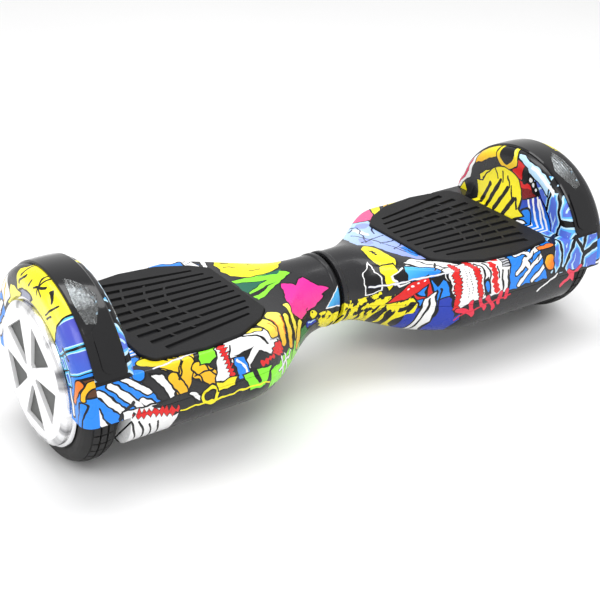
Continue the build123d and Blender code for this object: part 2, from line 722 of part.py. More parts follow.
def pivot_circlip():
    clip = ring(-SHAFT_HALF_LENGTH + 2.1, -SHAFT_HALF_LENGTH + 3.4, SHAFT_RADIUS + 2.2, SHAFT_RADIUS - 0.9)
    gap = block(-70, -50, -4, 4, AXLE_Z + 8, AXLE_Z + 20)
    return clip - gap


def neck_seal():
    """Dark ring on the shaft that closes the gap between the two necks."""
    return ring(-SEAL_HALF_LENGTH, SEAL_HALF_LENGTH, SEAL_RADIUS, SHAFT_RADIUS + 0.01)


# ---------------------------------------------------------------- electrics

def control_board():
    """Main board on the -X chassis: board, heat sink, capacitors and plugs."""
    floor = PLATE_Z + PLATE_THICKNESS
    bottom = floor + MAIN_BOARD_LIFT
    top = bottom + BOARD_THICKNESS
    board = block(-190, -105, -32, 32, bottom, top)
    sink = block(-150, -118, -30, 30, floor, bottom + 0.1)
    legs = [post(x, y, floor, bottom + 0.1, 3) for x in (-185, -158) for y in (-27, 27)]
    capacitors = []
    for x in (-178, -162):
        for y in (-18, 0, 18):
            capacitors.append(post(x, y, top - 0.1, top + CAPACITOR_HEIGHT, CAPACITOR_RADIUS))
    plugs = [block(-148, -138, y - 5, y + 5, top - 0.1, top + 8) for y in (-20, -5, 10)]
    return board + sink + legs + capacitors + plugs


def battery_pack():
    """Wrapped battery pack on the +X chassis."""
    z = PLATE_Z + PLATE_THICKNESS + BATTERY_LIFT
    half = BATTERY_HALF_WIDTH
    pack = block(BATTERY_START_X, BATTERY_END_X, -half, half, z, z + BATTERY_HEIGHT)
    return fillet(pack.edges(), 4)


def battery_bracket():
    """Strap over the battery pack, with its feet on the chassis."""
    floor = PLATE_Z + PLATE_THICKNESS
    top = floor + BATTERY_LIFT + BATTERY_HEIGHT
    start, end = STRAP_START_X, STRAP_END_X
    room_half = BATTERY_HALF_WIDTH + 0.2
    half = BATTERY_HALF_WIDTH + 0.5 + STRAP_THICKNESS
    outside = block(start, end, -half, half, floor, top + STRAP_THICKNESS)
    room = block(start - 1, end + 1, -room_half, room_half, floor - 1, top + 0.2)
    foot = block(start, end, half - 0.5, half + 4, floor, floor + STRAP_THICKNESS)
    return outside - room + foot + mirror(foot, Plane.XZ)


def port_plane(x):
    """Plane on the slanted lower back wall, facing out and down."""
    turn = math.radians(PORT_TILT)
    normal = (0, math.cos(turn), -math.sin(turn))
    return Plane(origin=(x, PORT_Y, PORT_Z), x_dir=(1, 0, 0), z_dir=normal)


def stub(x, depth, height, radius):
    """Cylinder square to the slanted wall, from depth below its surface to height above it."""
    return extrude(port_plane(x).offset(-depth) * Circle(radius), amount=depth + height)


def with_ports(shell):
    """Lower shell of the +X half with seats for the charge socket and the power button."""
    for x in (SOCKET_X, BUTTON_X):
        shell = shell + stub(x, 6, 0.8, PORT_RADIUS + 2.5)
        shell = shell - stub(x, PORT_SEAT_DEPTH, 3, PORT_RADIUS + 0.1)
        shell = shell - stub(x, 10, 3, PORT_RADIUS - 1.4)
    return shell


def port_body(x, bore, depth):
    """Flanged barrel that fills a seat."""
    flange = stub(x, PORT_SEAT_DEPTH - 0.05, 0.9, PORT_RADIUS)
    barrel = stub(x, depth, 0, PORT_RADIUS - 1.5)
    return flange + barrel - stub(x, depth - 2, 2, bore)


def charge_port():
    """Round charge socket."""
    return port_body(SOCKET_X, SOCKET_RADIUS, 11)


def button_housing():
    """Barrel that guides the power button."""
    return port_body(BUTTON_X, BUTTON_RADIUS + 0.35, 9)


def power_button():
    """Push button that slides in its housing."""
    cap = stub(BUTTON_X, 4.5, 1.6, BUTTON_RADIUS)
    return fillet(cap.edges().sort_by(Axis.Y)[-1], 0.6)


# ---------------------------------------------------------------- assembly

def save(name, part):
    export_step(part, f"parts/{name}.step")


os.makedirs("parts", exist_ok=True)
outer_body = outer_form()
inner_body = inner_form()
plain_lower = lower_shell(outer_body, inner_body)

shared = {
    "upper_shell": upper_shell(outer_body, inner_body),
    "fender_trim": fender_trim(),
    "light_lens": light_lens(),
    "light_board": light_board(),
    "footpad": footpad(),
    "pad_plungers": pad_plungers(),
    "gyro_board": gyro_board(),
    "chassis": chassis(),
    "axle_clamp": axle_clamp(),
    "clamp_bolts": clamp_bolts(),
    "shell_screws": shell_screws(),
    "motor_axle": motor_axle(),
    "stator": stator(),
    "wheel_bearings": wheel_bearings(),
    "tyre": tyre(),
    "rotor_can": rotor_can(),
    "rim_ring": rim_ring(),
    "magnet_ring": magnet_ring(),
    "hub_cover": hub_cover(),
    "inner_cover": inner_cover(),
}
for name, part in shared.items():
    save(f"right_{name}", part)
    save(f"left_{name}", mirror(part, Plane.YZ))

save("left_lower_shell", mirror(plain_lower, Plane.YZ))
save("right_lower_shell", with_ports(plain_lower))
save("pivot_shaft", pivot_shaft())
save("pivot_bushes", pivot_bushes())
save("shaft_sleeve", shaft_sleeve())
save("pivot_circlip", pivot_circlip())
save("neck_seal", neck_seal())
save("control_board", control_board())
save("battery_pack", battery_pack())
save("battery_bracket", battery_bracket())
save("charge_port", charge_port())
save("button_housing", button_housing())
save("power_button", power_button())
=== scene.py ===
import json
import math

import bmesh
import bpy
from mathutils import Matrix, Vector

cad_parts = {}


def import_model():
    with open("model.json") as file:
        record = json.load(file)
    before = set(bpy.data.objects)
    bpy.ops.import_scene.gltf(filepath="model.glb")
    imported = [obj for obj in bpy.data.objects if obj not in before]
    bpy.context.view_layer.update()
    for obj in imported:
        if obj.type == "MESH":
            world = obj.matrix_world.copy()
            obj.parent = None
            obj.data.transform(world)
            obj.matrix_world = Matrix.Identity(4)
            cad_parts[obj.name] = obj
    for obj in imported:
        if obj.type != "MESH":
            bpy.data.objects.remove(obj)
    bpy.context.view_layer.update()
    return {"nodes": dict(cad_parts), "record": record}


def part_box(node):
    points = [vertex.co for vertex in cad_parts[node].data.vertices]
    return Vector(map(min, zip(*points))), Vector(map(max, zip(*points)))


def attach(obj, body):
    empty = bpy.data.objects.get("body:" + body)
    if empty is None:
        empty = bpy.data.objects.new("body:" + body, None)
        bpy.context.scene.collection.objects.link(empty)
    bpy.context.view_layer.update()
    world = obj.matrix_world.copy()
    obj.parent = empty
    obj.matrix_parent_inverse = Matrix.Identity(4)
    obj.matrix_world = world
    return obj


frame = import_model()
nodes = frame["nodes"]

# Places in millimetres, in the row frame
AXLE_Z = 82.5
DECK_EDGE_Z = 108.0
BACK_TURN_GIRTH = 99.0
DOME_START_Z = 107.2
DOME_START_X = 214.0
LIP_START_X = 273.4
BASE_TOP_Z = 35.5
LAMP_TOP_Z = 155.5
COVER_FACE_RADIUS = 56.5
TREAD_START_RADIUS = 78.5

# Contacts of the charge socket, in metres and degrees
SOCKET_TILT = 36
PIN_COUNT = 3
PIN_CIRCLE_RADIUS = 0.0022
PIN_RADIUS = 0.0006
PIN_TIP_RADIUS = 0.0005
PIN_LENGTH = 0.0055
PIN_SINK = 0.0015
PIN_BEVEL = 0.0002

# Colours of the print, linear
CHARCOAL = (0.019, 0.019, 0.021)
BLACK = (0.004, 0.004, 0.005)
YELLOW = (0.92, 0.80, 0.015)
PALE_YELLOW = (0.95, 0.88, 0.12)
GOLD = (0.90, 0.48, 0.012)
GREEN = (0.25, 0.86, 0.030)
DARK_GREEN = (0.004, 0.13, 0.075)
MAGENTA = (0.86, 0.022, 0.33)
PINK = (0.90, 0.10, 0.28)
BLUE = (0.015, 0.24, 0.86)
DEEP_BLUE = (0.018, 0.045, 0.42)
PURPLE = (0.075, 0.085, 0.50)
PERIWINKLE = (0.30, 0.38, 0.86)
PALE_BLUE = (0.50, 0.74, 0.93)
CYAN = (0.09, 0.56, 0.90)
RED = (0.72, 0.016, 0.016)
ORANGE = (0.85, 0.19, 0.012)
WHITE = (0.88, 0.88, 0.88)
LAVENDER = (0.28, 0.30, 0.40)
BLOCK_BLUE = (0.10, 0.17, 0.66)
BLOCK_EDGE = (0.10, 0.45, 0.92)
LIGHT_GREEN = (0.42, 0.75, 0.22)
LEAF_GREEN = (0.05, 0.22, 0.05)
DARK_RED = (0.20, 0.003, 0.003)
SCARLET = (0.78, 0.03, 0.07)
CORAL = (0.78, 0.05, 0.10)
CARMINE = (0.70, 0.02, 0.05)
CRIMSON = (0.62, 0.03, 0.10)
BROWN = (0.10, 0.035, 0.012)
INK = (0.012, 0.02, 0.10)
GREY = (0.45, 0.46, 0.48)
PALE_GREY = (0.55, 0.56, 0.60)


# ------------------------------------------------------------------ node fields

def feed_color(tree, value, socket):
    """Gives a colour input a constant colour or another node's output."""
    if isinstance(value, tuple):
        socket.default_value = (*value, 1)
    else:
        tree.links.new(value, socket)


class Field:
    """A number that varies over the surface. Arithmetic on it adds Math nodes."""

    def __init__(self, tree, socket):
        self.tree = tree
        self.socket = socket

    def math(self, operation, *others):
        node = self.tree.nodes.new("ShaderNodeMath")
        node.operation = operation
        self.tree.links.new(self.socket, node.inputs[0])
        for index, other in enumerate(others, start=1):
            if isinstance(other, Field):
                self.tree.links.new(other.socket, node.inputs[index])
            else:
                node.inputs[index].default_value = other
        return Field(self.tree, node.outputs[0])

    def __add__(self, other):
        return self.math("ADD", other)

    def __sub__(self, other):
        return self.math("SUBTRACT", other)

    def __mul__(self, other):
        return self.math("MULTIPLY", other)

    def __neg__(self):
        return self.math("MULTIPLY", -1.0)

    def abs(self):
        return self.math("ABSOLUTE")

    def min(self, other):
        return self.math("MINIMUM", other)

    def max(self, other):
        return self.math("MAXIMUM", other)

    def below(self, limit):
        return self.math("LESS_THAN", limit)

    def above(self, limit):
        return self.math("GREATER_THAN", limit)

    def hypot(self, other):
        return (self * self + other * other).math("SQRT")

    def wave(self, period):
        """Triangle wave between 0 and 1 with the given period."""
        return self.math("PINGPONG", period / 2) * (2 / period)


class Canvas:
    """A flat drawing plane in millimetres that layers of colour are painted on, kept as a node group."""

    def __init__(self, name, wobble=1.2):
        self.tree = bpy.data.node_groups.new(name, "ShaderNodeTree")
        self.tree.interface.new_socket("Place", in_out="INPUT", socket_type="NodeSocketVector")
        self.tree.interface.new_socket("Under", in_out="INPUT", socket_type="NodeSocketColor")
        self.tree.interface.new_socket("Colour", in_out="OUTPUT", socket_type="NodeSocketColor")
        given = self.tree.nodes.new("NodeGroupInput")
        self.spot = given.outputs["Place"]
        self.color = given.outputs["Under"]
        self.spot = self.shake(wobble)

    def laid_on(self, tree, place, under):
        """Puts the finished drawing into a material: its colour at a place, over another colour."""
        result = self.tree.nodes.new("NodeGroupOutput")
        self.tree.links.new(self.color, result.inputs["Colour"])
        group = tree.nodes.new("ShaderNodeGroup")
        group.node_tree = self.tree
        tree.links.new(place, group.inputs["Place"])
        feed_color(tree, under, group.inputs["Under"])
        return group.outputs["Colour"]

    def node(self, kind, **settings):
        node = self.tree.nodes.new(kind)
        for name, value in settings.items():
            setattr(node, name, value)
        return node

    def shake(self, amount):
        """Hand-drawn unevenness: the plane is pushed about by soft noise."""
        noise = self.node("ShaderNodeTexNoise", noise_dimensions="2D")
        noise.inputs["Scale"].default_value = 0.09
        noise.inputs["Detail"].default_value = 1.0
        self.tree.links.new(self.spot, noise.inputs["Vector"])
        centred = self.vector("SUBTRACT", noise.outputs["Color"], (0.5, 0.5, 0.5))
        pushed = self.vector("MULTIPLY", centred, (4 * amount, 4 * amount, 0))
        return self.vector("ADD", self.spot, pushed)

    def vector(self, operation, first, second):
        node = self.node("ShaderNodeVectorMath", operation=operation)
        for index, value in enumerate((first, second)):
            if isinstance(value, tuple):
                node.inputs[index].default_value = value
            else:
                self.tree.links.new(value, node.inputs[index])
        return node.outputs["Vector"]

    def dot(self, direction):
        node = self.node("ShaderNodeVectorMath", operation="DOT_PRODUCT")
        self.tree.links.new(self.spot, node.inputs[0])
        node.inputs[1].default_value = (direction[0], direction[1], 0)
        return Field(self.tree, node.outputs["Value"])

    # Each shape below is a distance field: negative inside, in millimetres.

    def ellipse(self, x, y, rx, ry, turn=0):
        c, s = math.cos(math.radians(turn)), math.sin(math.radians(turn))
        u = (self.dot((c, s)) - (x * c + y * s)) * (1 / rx)
        v = (self.dot((-s, c)) - (-x * s + y * c)) * (1 / ry)
        return (u.hypot(v) - 1.0) * min(rx, ry)

    def polygon(self, *corners):
        """Convex polygon."""
        area = sum(a[0] * b[1] - b[0] * a[1] for a, b in zip(corners, corners[1:] + corners[:1]))
        sense = 1 if area > 0 else -1
        shape = None
        for (ax, ay), (bx, by) in zip(corners, corners[1:] + corners[:1]):
            length = math.hypot(bx - ax, by - ay)
            normal = (sense * (by - ay) / length, -sense * (bx - ax) / length)
            side = self.dot(normal) - (normal[0] * ax + normal[1] * ay)
            shape = side if shape is None else shape.max(side)
        return shape

    def stroke(self, start, end, radius, end_radius=None):
        """Straight brush stroke with round ends, which can taper."""
        length = math.hypot(end[0] - start[0], end[1] - start[1])
        way = ((end[0] - start[0]) / length, (end[1] - start[1]) / length)
        run = self.dot(way) - (way[0] * start[0] + way[1] * start[1])
        run_in = run.max(0.0).min(length)
        off = self.dot((-way[1], way[0])) - (-way[1] * start[0] + way[0] * start[1])
        distance = off.hypot(run - run_in)
        if end_radius is None:
            return distance - radius
        return distance - run_in * ((end_radius - radius) / length) - radius

    def strokes(self, radius, *lines):
        shape = None
        for start, end in lines:
            line = self.stroke(start, end, radius)
            shape = line if shape is None else shape.min(line)
        return shape

    def wedge(self, inner, outer, start, end):
        """Piece of a ring round the axle, between two angles."""
        corners = []
        for radius, angle in ((inner, start), (outer, start), (outer, end), (inner, end)):
            turn = math.radians(angle)
            corners.append((radius * math.cos(turn), AXLE_Z + radius * math.sin(turn)))
        return self.polygon(*corners)

    def ringlet(self, x, y, radius, width):
        return (self.ellipse(x, y, radius, radius).abs()) - width

    def teeth(self, shape, direction, period, height):
        """The same shape with a saw-toothed edge along a direction."""
        return shape + self.dot(direction).wave(period) * height

    def cells(self, size, width, seed=0.0, squeeze=(1.0, 1.0)):
        """Thin crack-like lines between random cells, which can be narrowed in each direction."""
        node = self.node("ShaderNodeTexVoronoi", voronoi_dimensions="2D", feature="DISTANCE_TO_EDGE")
        node.inputs["Scale"].default_value = 1 / size
        pressed = self.vector("MULTIPLY", self.spot, (*squeeze, 1.0))
        moved = self.vector("ADD", pressed, (seed, seed * 1.7, 0.0))
        self.tree.links.new(moved, node.inputs["Vector"])
        return Field(self.tree, node.outputs["Distance"]) * size - width

    def speckle(self, size, share):
        """Noise that is negative over about the given share of the surface."""
        node = self.node("ShaderNodeTexNoise", noise_dimensions="2D")
        node.inputs["Scale"].default_value = 1 / size
        node.inputs["Detail"].default_value = 2.0
        self.tree.links.new(self.spot, node.inputs["Vector"])
        return (Field(self.tree, node.outputs["Fac"]) - share) * size

    def mix(self, mask, color):
        """Lays a colour, or another colour socket, where the mask is 1."""
        node = self.node("ShaderNodeMix", data_type="RGBA")
        self.tree.links.new(mask.socket, node.inputs["Factor"])
        self.tree.links.new(self.color, node.inputs["A"])
        feed_color(self.tree, color, node.inputs["B"])
        self.color = node.outputs["Result"]

    def paint(self, shape, color, outline=1.5, line=BLACK):
        """Fills a shape, with a dark outline round it."""
        if outline:
            self.mix(shape.below(outline), line)
        self.mix(shape.below(0.0), color)

    def blend(self, first, second, direction, start, end):
        """Soft change between two colours along a direction."""
        ramp = (self.dot(direction) - start) * (1 / (end - start))
        clamped = ramp.max(0.0).min(1.0)
        node = self.node("ShaderNodeMix", data_type="RGBA")
        self.tree.links.new(clamped.socket, node.inputs["Factor"])
        node.inputs["A"].default_value = (*first, 1)
        node.inputs["B"].default_value = (*second, 1)
        return node.outputs["Result"]


# ------------------------------------------------------------------ the print

def paint_left_deck(c):
    """Deck, shoulder and neck of the -X half."""
    c.paint(c.polygon((-246, 60), (-246, 110), (-96, 110), (-96, 62)), BLUE)
    c.paint(c.ellipse(-176, 86, 13, 15), YELLOW)
    c.paint(c.ringlet(-176, 86, 7, 1.2), BLACK, 0)
    c.paint(c.ellipse(-208, 84, 13, 9, 20), PALE_YELLOW)
    c.paint(c.strokes(3.2, ((-158, 70), (-141, 84)), ((-141, 84), (-152, 99))), WHITE)
    c.paint(c.stroke((-196, 66), (-188, 98), 3), WHITE)
    c.paint(c.ellipse(-116, 85, 9, 5, -20), WHITE)
    c.paint(c.polygon((-108, 60), (-106, 96), (-96, 88), (-98, 60)), WHITE)
    c.paint(c.strokes(0.6, ((-106, 70), (-98, 73)), ((-106, 77), (-98, 79)), ((-105, 84), (-99, 86))),
            BLACK, 0)
    c.paint(c.stroke((-93, 56), (-86, 80), 2.2), WHITE)

    c.paint(c.ellipse(-58, 37, 27, 34, 14).max(c.ellipse(-54, 40, 34, 38)), YELLOW)
    scribble = c.strokes(0.8, ((-72, 66), (-64, 58)), ((-71, 58), (-63, 66)), ((-60, 34), (-50, 36)),
                         ((-50, 36), (-46, 46)), ((-80, 44), (-71, 38)), ((-48, 62), (-42, 52)),
                         ((-66, 20), (-58, 16)), ((-54, 60), (-50, 50)), ((-78, 54), (-72, 50)))
    c.paint(scribble, BLACK, 0)
    c.paint(c.strokes(3.8, ((-60, 82), (-18, 54)), ((-18, 54), (-36, 50))), GREEN)
    c.paint(c.polygon((-56, 72), (-40, 78), (-40, 62)), DARK_GREEN, 0)
    c.paint(c.polygon((-88, 16), (-46, -2), (-42, -10), (-88, -30)), GREEN)
    c.paint(c.polygon((-89, 9), (-66, -6), (-89, -13)), DARK_GREEN, 1.0)
    c.paint(c.polygon((-66, 5), (-44, 0), (-52, -5)), DARK_GREEN, 0)
    c.paint(c.polygon((-89, -16), (-58, -13), (-89, -23)), BLACK, 0)

    bloom = c.polygon((-57, -20), (-46, -27), (-45, -62), (-58, -71), (-71, -60), (-68, -44))
    bloom = bloom.min(c.polygon((-47, -27), (-34, -20), (-13, -40), (-24, -46), (-50, -60)))
    bloom = bloom.min(c.polygon((-30, -40), (-12, -50), (-34, -57), (-52, -70)))
    c.paint(bloom, c.blend(MAGENTA, PINK, (0.3, -0.95), 20, 70))
    c.paint(c.polygon((0, -38), (-16, -60), (0, -62)), c.blend(CYAN, DEEP_BLUE, (0.8, -0.5), 14, 34), 1.0,
            WHITE)


def paint_left_front(c):
    """Front wall of the -X half."""
    c.paint(c.polygon((-294, -62), (-226, -62), (-212, -122), (-294, -152)), BLUE)
    c.paint(c.strokes(2.6, ((-272, -94), (-250, -122)), ((-262, -90), (-237, -119)),
                      ((-250, -88), (-228, -106)), ((-244, -70), (-224, -92)), ((-278, -108), (-268, -128)),
                      ((-236, -112), (-226, -120))), WHITE)
    c.paint(c.stroke((-256, -124), (-244, -112), 1.2), CHARCOAL, 0.8)
    c.paint(c.polygon((-236, -76), (-229, -74), (-212, -92), (-206, -122), (-216, -122), (-234, -92)),
            CHARCOAL)
    c.paint(c.polygon((-224, -92), (-216, -94), (-204, -118), (-209, -120)), WHITE)
    c.paint(c.ellipse(-236, -86, 5, 8, 20), BLUE)
    gold = c.blend(YELLOW, GOLD, (0, -1), 62, 108)
    c.paint(c.polygon((-229, -75), (-216, -54), (-204, -66), (-196, -84), (-212, -92)), gold)
    c.paint(c.stroke((-222, -74), (-172, -110), 6.5), gold)
    c.paint(c.stroke((-187, -74), (-199, -116), 6), gold)
    c.paint(c.stroke((-206, -100), (-198, -117), 4.4), gold)
    c.paint(c.stroke((-184, -97), (-170, -116), 4.2), gold)
    c.paint(c.strokes(0.8, ((-214, -70), (-206, -80)), ((-204, -68), (-198, -80)),
                      ((-186, -106), (-170, -104)), ((-196, -86), (-200, -104)),
                      ((-190, -78), (-184, -92))), BLACK, 0)
    # Painted highlight: a lavender band standing in for the light caught on the pad's sloping front edge.
    c.paint(c.polygon((-206, -61), (-140, -63), (-142, -71), (-205, -69)), LAVENDER)
    c.paint(c.polygon((-177, -73), (-142, -71), (-150, -80), (-172, -98), (-181, -96)), GREEN)

    c.paint(c.polygon((-164, -84), (-155, -82), (-150, -119), (-166, -119)), WHITE)
    swoosh = c.ellipse(-128, -94, 30, 21, -22)
    swoosh = swoosh.max(c.polygon((-170, -74), (-90, -74), (-90, -119), (-170, -119)))
    c.paint(swoosh, WHITE)
    c.paint(c.polygon((-112, -92), (-98, -96), (-104, -84)), GREY, 0)
    c.paint(c.teeth(c.stroke((-159, -84), (-150, -117), 4.2), (0.3, -0.95), 4.6, 3.4), RED, 1.0)
    c.paint(c.polygon((-148, -99), (-128, -94), (-138, -106)), BLACK, 0)
    c.paint(c.polygon((-148, -102), (-140, -102), (-132, -122), (-144, -122)), BLUE)
    c.paint(c.strokes(1.0, ((-145, -104), (-139, -112)), ((-141, -110), (-136, -118))), WHITE, 0)
    c.paint(c.strokes(1.3, ((-134, -78), (-122, -84)), ((-122, -84), (-115, -95))), BLACK, 0)
    c.paint(c.strokes(0.9, ((-151, -86), (-152, -106)), ((-128, -108), (-126, -120)),
                      ((-148, -110), (-146, -121))), BLACK, 0)
    c.paint(c.polygon((-132, -112), (-124, -103), (-104, -109), (-108, -122), (-128, -122)), CHARCOAL)
    c.paint(c.teeth(c.stroke((-122, -115), (-108, -110), 3.4), (1, 0.2), 5, 2.4), RED, 0)
    c.paint(c.teeth(c.ellipse(-101, -103, 8, 8.5), (0.5, 1), 5, 2.2), RED)
    c.paint(c.polygon((-112, -118), (-98, -104), (-70, -92), (-52, -78), (-60, -120), (-110, -138)),
            c.blend(GREEN, LIGHT_GREEN, (1, 0.2), -100, -70))
    c.paint(c.polygon((-66, -84), (-50, -76), (-40, -78), (-58, -96)), LEAF_GREEN)
    c.paint(c.strokes(1.1, ((-97, -112), (-92, -126)), ((-92, -108), (-86, -122)),
                      ((-99, -124), (-84, -110)), ((-78, -98), (-84, -112))), WHITE, 0.7)
    c.paint(c.strokes(0.8, ((-74, -92), (-78, -112)), ((-64, -86), (-70, -102))), BLACK, 0)

    finger = c.blend(PALE_YELLOW, GOLD, (0, -1), 66, 100)
    for start, end, wide, thin in (((-107, -66), (-104, -86), 6, 5), ((-93, -60), (-92, -96), 6, 3),
                                   ((-81, -66), (-80, -100), 3.6, 2.6), ((-73, -50), (-67, -94), 1.8, 2.8),
                                   ((-60, -74), (-68, -100), 3.2, 2.4), ((-126, -72), (-116, -76), 4, 2)):
        c.paint(c.stroke(start, end, wide, thin), finger)
    c.paint(c.strokes(0.6, ((-98, -66), (-96, -88)), ((-104, -70), (-101, -84)), ((-88, -66), (-88, -88))),
            ORANGE, 0)
    c.paint(c.stroke((-46, -76), (-26, -68), 2.6), DEEP_BLUE)
    c.paint(c.stroke((-44, -74.5), (-30, -68.5), 0.9), PALE_BLUE, 0)
    lumps = c.ellipse(-20, -69, 10, 6.5).min(c.ellipse(-6, -73, 9, 6)).min(c.ellipse(-36, -65, 6, 4))
    c.paint(lumps, YELLOW)
    c.paint(c.speckle(5.0, 0.42).max(lumps), BLACK, 0)

    c.paint(c.polygon((-252, -119), (-208, -121), (-200, -132), (-212, -152), (-252, -152)), WHITE)
    c.paint(c.polygon((-222, -122), (-190, -119), (-186, -134), (-206, -134)), CHARCOAL)
    c.paint(c.teeth(c.stroke((-240, -124), (-206, -131), 4.6), (1, 0), 5.2, 3.8), RED, 0.9)
    c.paint(c.strokes(0.9, ((-246, -130), (-240, -142)), ((-238, -132), (-232, -144)),
                      ((-230, -136), (-224, -148)), ((-221, -137), (-216, -148))), BLACK, 0)
    c.paint(c.stroke((-190, -121), (-182, -128), 1.5), WHITE)
    c.paint(c.ringlet(-172, -128, 7, 1.4), YELLOW)
    c.paint(c.polygon((-166, -119), (-146, -119), (-148, -126), (-164, -127)), YELLOW)
    c.paint(c.polygon((-140, -119), (-112, -119), (-118, -136), (-132, -136)), GREEN)
    c.paint(c.stroke((-130, -118), (-124, -130), 2.0), BLACK, 0)
    c.paint(c.stroke((-200, -133.5), (-112, -133.5), 0.8), YELLOW, 0)
    # Painted highlight: a thin white line with a lavender edge where the shoulder crease catches the light.
    c.paint(c.stroke((-222, -86), (-152, -76), 0.75), WHITE, 0.5, LAVENDER)


def paint_right_deck(c):
    """Deck, shoulder and neck of the +X half."""
    sky = c.polygon((44, 6), (58, 66), (84, 112), (104, 112), (96, 40), (84, -8))
    sky = sky.min(c.polygon((60, 6), (96, 60), (100, -46), (86, -42), (66, -14)))
    c.paint(sky, c.blend(PALE_BLUE, PERIWINKLE, (0.5, -0.8), -20, 60))
    c.paint(c.ellipse(62, 14, 7, 10, -20).max(sky), PERIWINKLE, 0)
    c.paint(c.ellipse(86, 52, 8, 6, 20).max(sky), PERIWINKLE, 0)
    c.paint(c.ellipse(88, -22, 4, 12, 0).max(sky), BLUE, 0)
    c.paint(c.ellipse(74, 38, 4, 12, 10).max(sky), WHITE, 0)
    sketch = c.strokes(0.8, ((60, 10), (80, 50)), ((80, 50), (70, 54)), ((66, 24), (72, 14)),
                       ((54, 10), (90, 24)), ((60, 34), (66, 24)), ((74, 4), (90, 8)), ((70, 62), (90, 66)),
                       ((78, -12), (90, -4)), ((72, 14), (78, 0)), ((78, 0), (84, -20)),
                       ((86, -10), (91, -34)), ((64, 44), (72, 50)), ((78, 70), (88, 84)),
                       ((84, 30), (92, 44)))
    c.paint(sketch.max(sky), INK, 0)
    c.paint(c.polygon((84, 64), (104, 60), (114, 72), (124, 104), (102, 104)), PINK)
    c.paint(c.polygon((115, 70), (124, 72), (137, 98), (127, 102)), YELLOW)
    c.paint(c.polygon((134, 80), (142, 98), (178, 95), (186, 78)), GOLD)
    c.paint(c.polygon((142, 82), (150, 92), (164, 84)), YELLOW)
    c.paint(c.polygon((188, 80), (230, 80), (232, 98), (184, 98)), CHARCOAL)
    c.paint(c.stroke((196, 82), (214, 90), 1.2), WHITE)
    c.paint(c.stroke((186, 94), (220, 94), 1.6), RED)

    c.paint(c.ellipse(52, -20, 11, 20, 8), YELLOW)
    c.paint(c.polygon((44, -34), (56, -36), (58, -58), (46, -66)), YELLOW)
    c.paint(c.teeth(c.ellipse(50, -14, 2.2, 6, 12), (0, 1), 3, 1.2), BLACK, 0)
    c.paint(c.polygon((56, -66), (52, -52), (66, -46), (71, -58), (64, -68)), BLACK, 1.4, WHITE)
    c.paint(c.polygon((27, -60), (28, -34), (36, -26), (41, -44), (40, -62)), BLACK, 1.2, WHITE)
    c.paint(c.polygon((66, -40), (84, -36), (104, -62), (118, -76), (100, -82), (84, -64)), WHITE)
    c.paint(c.polygon((64, -46), (82, -60), (92, -76), (68, -72), (62, -64)),
            c.blend(CYAN, BLUE, (0.4, -0.9), 66, 96))
    c.paint(c.strokes(0.8, ((80, -44), (96, -70)), ((92, -56), (84, -66))), BLACK, 0)


